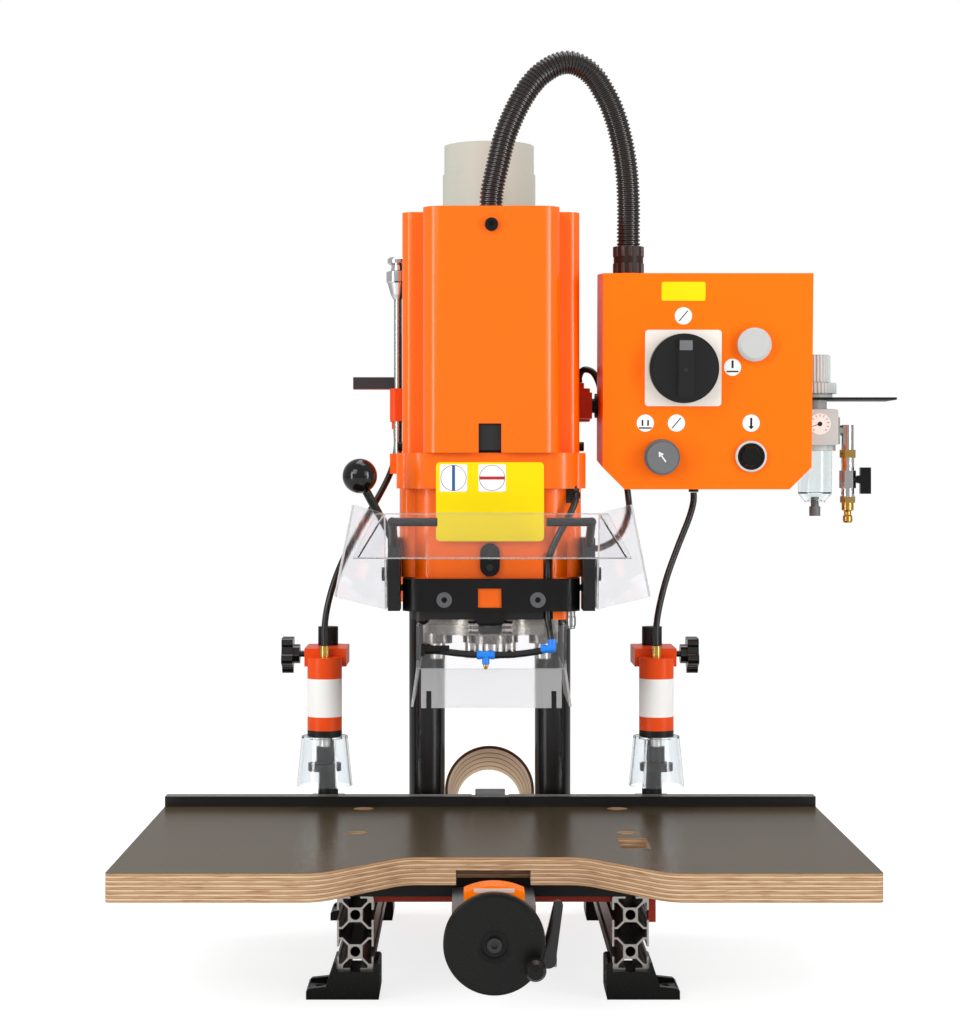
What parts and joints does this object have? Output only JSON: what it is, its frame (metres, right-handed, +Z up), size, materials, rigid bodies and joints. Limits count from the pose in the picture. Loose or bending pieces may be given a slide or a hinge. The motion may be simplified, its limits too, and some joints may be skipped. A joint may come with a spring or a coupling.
{
  "type": "hinge boring machine",
  "caption": "Bench hinge boring machine: drilling head on columns with swivel gearbox, guard, air clamps, fence, plywood table and control box.",
  "frame": {"origin": "centre of the four bench bolt holes, in the plane of the feet's underside", "axes": "+X right along the fence, +Y to the rear, +Z up"},
  "size_m": [0.905, 0.7818, 1.082],
  "materials": {
    "painted_orange": "satin powder coat",
    "painted_black": "satin",
    "steel": "machined",
    "chrome": "polished",
    "anodised": "natural anodised",
    "anodised_black": "black anodised",
    "cast_aluminium_orange": "painted casting",
    "motor_aluminium": "cast",
    "cast_iron_red": "painted",
    "brass": "plain",
    "plywood": "film faced",
    "black_plastic": "moulded",
    "orange_plastic": "moulded",
    "grey_plastic": "moulded",
    "pale_plastic": "moulded",
    "beige_plastic": "smooth",
    "beige_hose": "ribbed",
    "black_rubber": "matt",
    "clear_plastic": "clear sheet",
    "grey_metal": "painted grey"
  },
  "bodies": {
    "base": {"base_rails": "anodised", "feet": "black_plastic", "cross_members": "painted_black", "worktop": "plywood", "table_screws": "steel", "fence": "anodised_black", "clamp_posts": "painted_black", "screw_bracket": "grey_metal", "position_counter": "orange_plastic", "clamp_hoses": "black_rubber"},
    "lock_lever": {"lock_lever": "black_plastic"},
    "handwheel": {"handwheel": "black_plastic", "lead_screw": "steel"},
    "crank_grip": {"crank_grip": "black_plastic"},
    "carriage": {"carriage": "cast_iron_red", "columns": "painted_black", "column_yoke": "cast_iron_red", "box_arm": "painted_black", "stroke_cylinder": "anodised", "suction_duct": "beige_hose", "conduit_and_hoses": "black_rubber", "control_box": "painted_orange", "signal_lamp": "pale_plastic", "air_unit": "grey_metal", "filter_bowl": "clear_plastic"},
    "head": {"head_casting": "cast_aluminium_orange", "head_rods": "steel", "column_bushes": "brass", "front_band": "painted_black", "motor": "motor_aluminium", "head_cover": "orange_plastic", "extraction_pipe": "beige_plastic", "blow_off_line": "black_rubber", "chip_shroud": "clear_plastic"},
    "depth_knob": {"depth_knob": "chrome"},
    "gearbox": {"gearbox": "motor_aluminium"},
    "centre_spindle": {"centre_spindle": "steel"},
    "plug_spindle_left": {"plug_spindle_left": "steel"},
    "plug_spindle_right": {"plug_spindle_right": "steel"},
    "row_spindle_left": {"row_spindle_left": "steel"},
    "row_spindle_right": {"row_spindle_right": "steel"},
    "idler_left": {"idler_left": "steel"},
    "idler_right": {"idler_right": "steel"},
    "swivel_lock": {"swivel_lock": "black_plastic"},
    "guard": {"guard_visor": "clear_plastic", "guard_frame": "painted_black"},
    "clamp_left": {"clamp_left": "cast_aluminium_orange", "clamp_cup_left": "clear_plastic"},
    "clamp_right": {"clamp_right": "cast_aluminium_orange", "clamp_cup_right": "clear_plastic"},
    "clamp_plunger_left": {"clamp_plunger_left": "steel"},
    "clamp_plunger_right": {"clamp_plunger_right": "steel"},
    "star_knob_left": {"star_knob_left": "black_plastic"},
    "star_knob_right": {"star_knob_right": "black_plastic"},
    "main_switch": {"main_switch": "black_plastic"},
    "selector": {"selector": "grey_plastic"},
    "start_button": {"start_button": "black_plastic"},
    "regulator_knob": {"regulator_knob": "grey_plastic"},
    "drain_knob": {"drain_knob": "grey_plastic"},
    "valve_lever": {"valve_lever": "black_plastic"}
  },
  "joints": [
    {"name": "handwheel_turn", "type": "hinge", "parent": "base", "child": "handwheel", "pos_m": [0, -0.391, 0.091], "axis": [0, -1, 0], "range_deg": [-1081, 2521]},
    {"name": "crank_grip_spin", "type": "hinge", "parent": "handwheel", "child": "crank_grip", "pos_m": [0.041, -0.402, 0.071], "axis": [0, -1, 0], "continuous": true},
    {"name": "lock_lever_turn", "type": "hinge", "parent": "base", "child": "lock_lever", "pos_m": [0.056, -0.366, 0.068], "axis": [0, -1, 0], "range_deg": [-60, 20]},
    {"name": "carriage_slide", "type": "slide", "parent": "base", "child": "carriage", "axis": [0, 1, 0], "range_m": [-0.012, 0.028]},
    {"name": "head_slide", "type": "slide", "parent": "carriage", "child": "head", "axis": [0, 0, -1], "range_m": [0, 0.1], "deforming": ["conduit_and_hoses"]},
    {"name": "depth_knob_turn", "type": "hinge", "parent": "head", "child": "depth_knob", "pos_m": [-0.115, 0.131, 0.8], "axis": [0, 0, 1], "continuous": true},
    {"name": "gearbox_swivel", "type": "hinge", "parent": "head", "child": "gearbox", "pos_m": [0, 0.05, 0.39], "axis": [0, 0, 1], "range_deg": [0, 90]},
    {"name": "swivel_lock_turn", "type": "hinge", "parent": "head", "child": "swivel_lock", "pos_m": [-0.08, -0.046, 0.403], "axis": [0, 0, 1], "range_deg": [-90, 90]},
    {"name": "centre_spin", "type": "hinge", "parent": "gearbox", "child": "centre_spindle", "pos_m": [0, 0.05, 0.39], "axis": [0, 0, 1], "continuous": true},
    {"name": "plug_spin_left", "type": "hinge", "parent": "gearbox", "child": "plug_spindle_left", "pos_m": [-0.0225, 0.0595, 0.37], "axis": [0, 0, 1], "continuous": true},
    {"name": "idler_spin_left", "type": "hinge", "parent": "gearbox", "child": "idler_left", "pos_m": [-0.032, 0.05, 0.39], "axis": [0, 0, 1], "continuous": true},
    {"name": "row_spin_left", "type": "hinge", "parent": "gearbox", "child": "row_spindle_left", "pos_m": [-0.064, 0.05, 0.37], "axis": [0, 0, 1], "continuous": true},
    {"name": "plug_spin_right", "type": "hinge", "parent": "gearbox", "child": "plug_spindle_right", "pos_m": [0.0225, 0.0595, 0.37], "axis": [0, 0, 1], "continuous": true},
    {"name": "idler_spin_right", "type": "hinge", "parent": "gearbox", "child": "idler_right", "pos_m": [0.032, 0.05, 0.39], "axis": [0, 0, 1], "continuous": true},
    {"name": "row_spin_right", "type": "hinge", "parent": "gearbox", "child": "row_spindle_right", "pos_m": [0.064, 0.05, 0.37], "axis": [0, 0, 1], "continuous": true},
    {"name": "guard_lift", "type": "hinge", "parent": "head", "child": "guard", "pos_m": [0, -0.03, 0.436], "axis": [-1, 0, 0], "range_deg": [0, 30]},
    {"name": "clamp_height_left", "type": "slide", "parent": "base", "child": "clamp_left", "axis": [0, 0, 1], "range_m": [-0.015, 0.022], "deforming": ["clamp_hoses"]},
    {"name": "clamp_stroke_left", "type": "slide", "parent": "clamp_left", "child": "clamp_plunger_left", "axis": [0, 0, -1], "range_m": [0, 0.033]},
    {"name": "star_knob_turn_left", "type": "hinge", "parent": "clamp_left", "child": "star_knob_left", "pos_m": [-0.22, 0.1185, 0.346], "axis": [-1, 0, 0], "continuous": true},
    {"name": "clamp_height_right", "type": "slide", "parent": "base", "child": "clamp_right", "axis": [0, 0, 1], "range_m": [-0.015, 0.022]},
    {"name": "clamp_stroke_right", "type": "slide", "parent": "clamp_right", "child": "clamp_plunger_right", "axis": [0, 0, -1], "range_m": [0, 0.033]},
    {"name": "star_knob_turn_right", "type": "hinge", "parent": "clamp_right", "child": "star_knob_right", "pos_m": [0.22, 0.1185, 0.346], "axis": [1, 0, 0], "continuous": true},
    {"name": "main_switch_turn", "type": "hinge", "parent": "carriage", "child": "main_switch", "pos_m": [0.2272, -0.02312, 0.69556], "axis": [0, -0.9976, -0.0698], "range_deg": [-90, 0]},
    {"name": "selector_turn", "type": "hinge", "parent": "carriage", "child": "selector", "pos_m": [0.2023, -0.01579, 0.59062], "axis": [0, -0.9976, -0.0698], "range_deg": [-60, 60]},
    {"name": "start_button_push", "type": "slide", "parent": "carriage", "child": "start_button", "axis": [0, 0.9976, 0.0698], "range_m": [0, 0.004], "stiffness_N_per_m": 300, "springref_m": -0.004},
    {"name": "regulator_turn", "type": "hinge", "parent": "carriage", "child": "regulator_knob", "pos_m": [0.409, 0.15, 0.7], "axis": [0, 0, 1], "range_deg": [-720, 720]},
    {"name": "drain_turn", "type": "hinge", "parent": "carriage", "child": "drain_knob", "pos_m": [0.409, 0.15, 0.525], "axis": [0, 0, 1], "range_deg": [-180, 0]},
    {"name": "valve_turn", "type": "hinge", "parent": "carriage", "child": "valve_lever", "pos_m": [0.4467, 0.128, 0.563], "axis": [1, 0, 0], "range_deg": [0, 90]}
  ],
  "couplings": [
    {"joint": "handwheel_turn", "follows": "carriage_slide", "rad_per_m": 1570.8},
    {"joint": "plug_spin_left", "follows": "centre_spin", "ratio": -1},
    {"joint": "idler_spin_left", "follows": "centre_spin", "ratio": -0.52381},
    {"joint": "row_spin_left", "follows": "centre_spin", "ratio": 1},
    {"joint": "plug_spin_right", "follows": "centre_spin", "ratio": -1},
    {"joint": "idler_spin_right", "follows": "centre_spin", "ratio": -0.52381},
    {"joint": "row_spin_right", "follows": "centre_spin", "ratio": 1}
  ]
}
